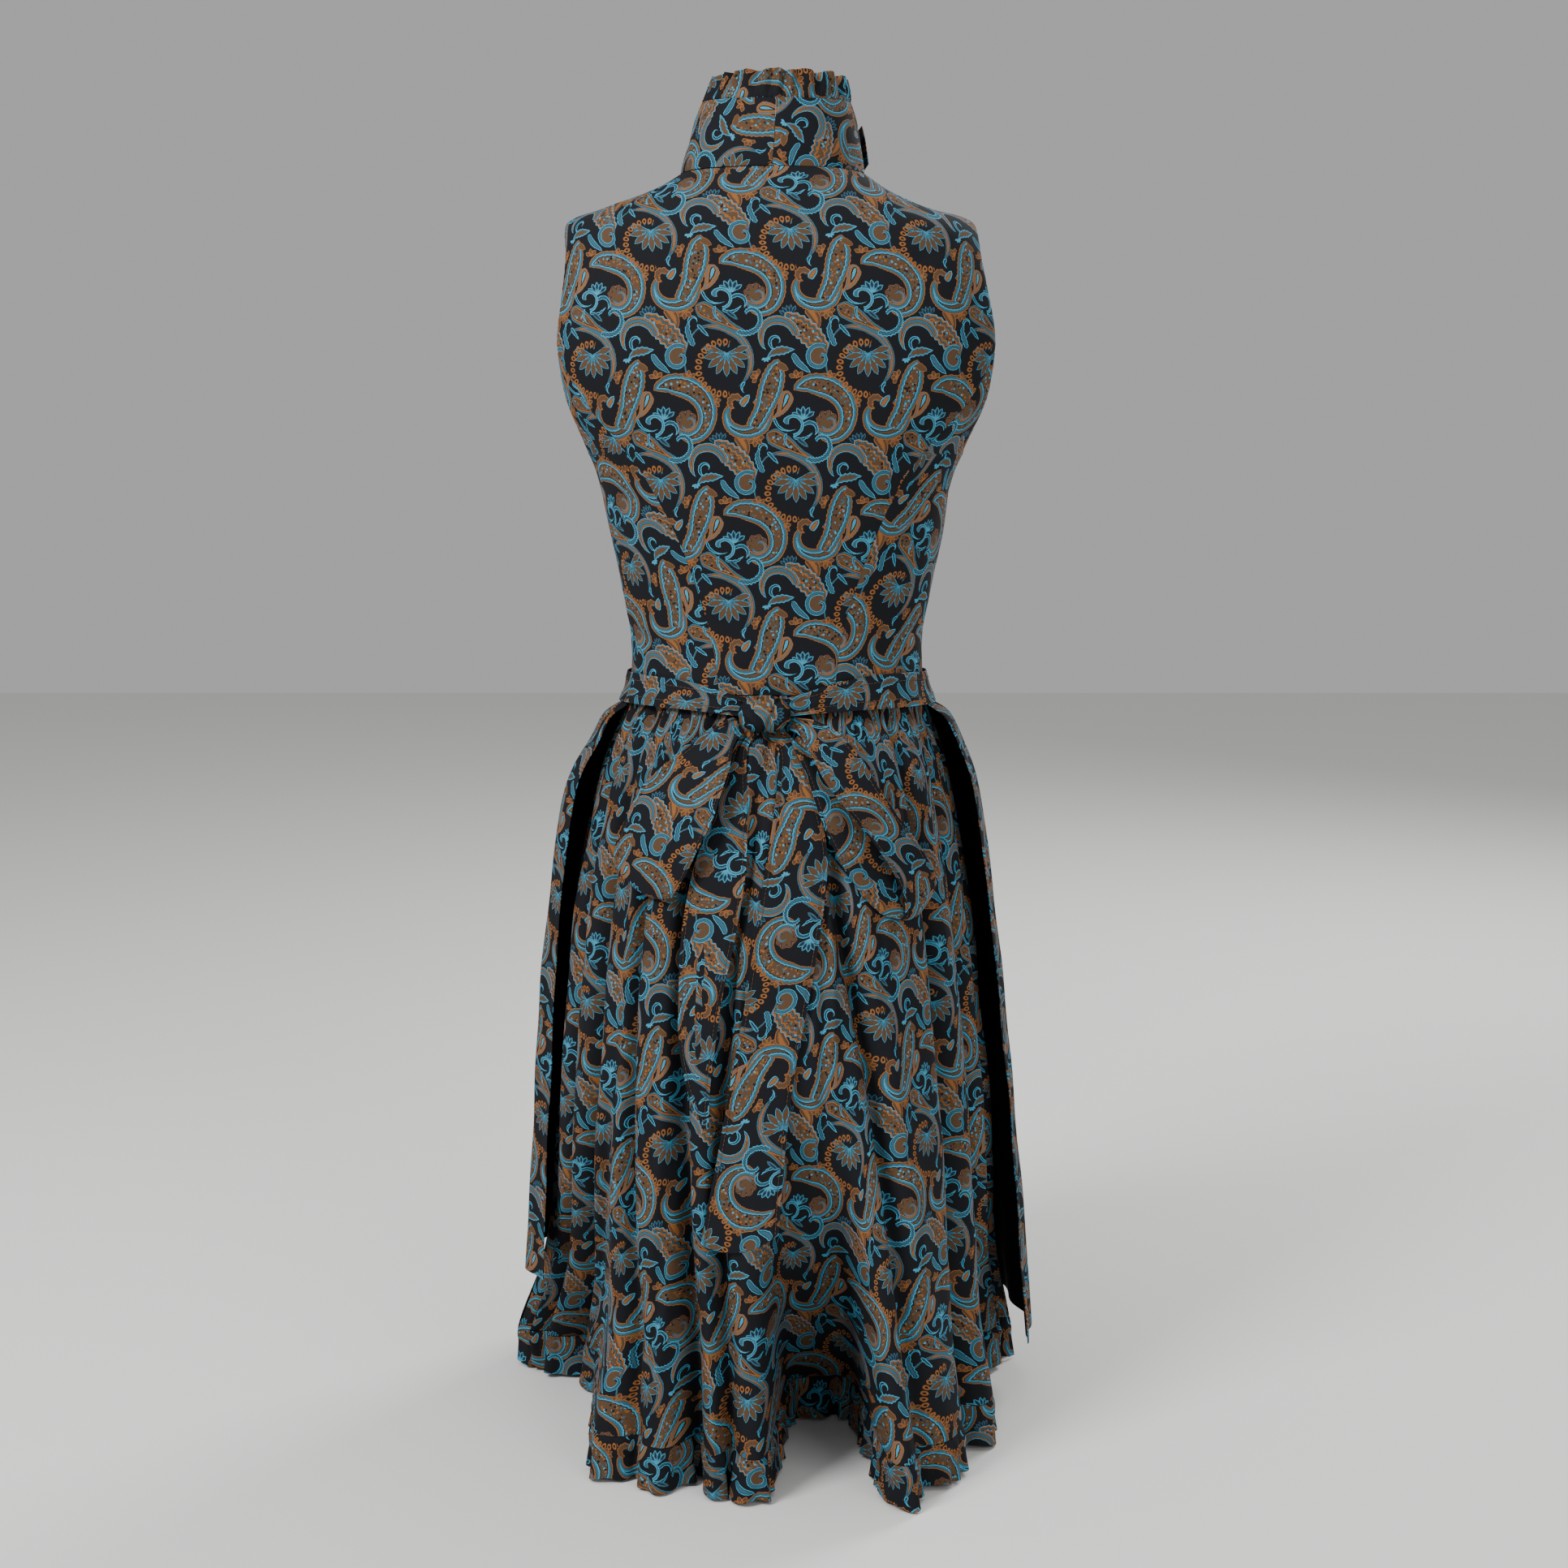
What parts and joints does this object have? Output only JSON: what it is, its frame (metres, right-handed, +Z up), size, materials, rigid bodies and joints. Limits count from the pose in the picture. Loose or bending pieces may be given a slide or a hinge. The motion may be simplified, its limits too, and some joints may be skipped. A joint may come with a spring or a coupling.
{
  "type": "dirndl with apron",
  "caption": "Sleeveless high-collared dirndl in worn form with gathered skirt, frilled hem and collar, and an apron tied in a bow at the back.",
  "frame": {"origin": "the point between the shoulders where the wearer carries the garment", "axes": "+Z up, the garment's front faces +Y and its back -Y, +X towards the wearer's right"},
  "size_m": [0.4484, 0.4615, 1.082],
  "materials": {
    "printed_cotton": "matt woven cotton printed with a paisley in blues and rust on a near-black ground",
    "apron_cotton": "the same printed cotton as the dress, with a plain near-black wrong side",
    "sewing_thread": "matt brown sewing thread"
  },
  "bodies": {
    "root": {"back_centre": "printed_cotton", "back_side_right": "printed_cotton", "back_side_left": "printed_cotton", "front_side_right": "printed_cotton", "front_side_left": "printed_cotton", "front_right": "printed_cotton", "front_left": "printed_cotton", "collar_right": "printed_cotton", "collar_left": "printed_cotton", "collar_frill": "printed_cotton", "collar_tab": "printed_cotton", "skirt_back": "printed_cotton", "skirt_front": "printed_cotton", "hem_frill_back": "printed_cotton", "hem_frill_front": "printed_cotton", "apron_panel": "apron_cotton", "apron_band": "apron_cotton", "tie_right": "apron_cotton", "tie_left": "apron_cotton", "bow_knot": "apron_cotton", "bow_loop_left": "apron_cotton", "bow_loop_right": "apron_cotton", "bow_tail_short": "apron_cotton", "bow_tail_long": "apron_cotton"}
  },
  "joints": []
}
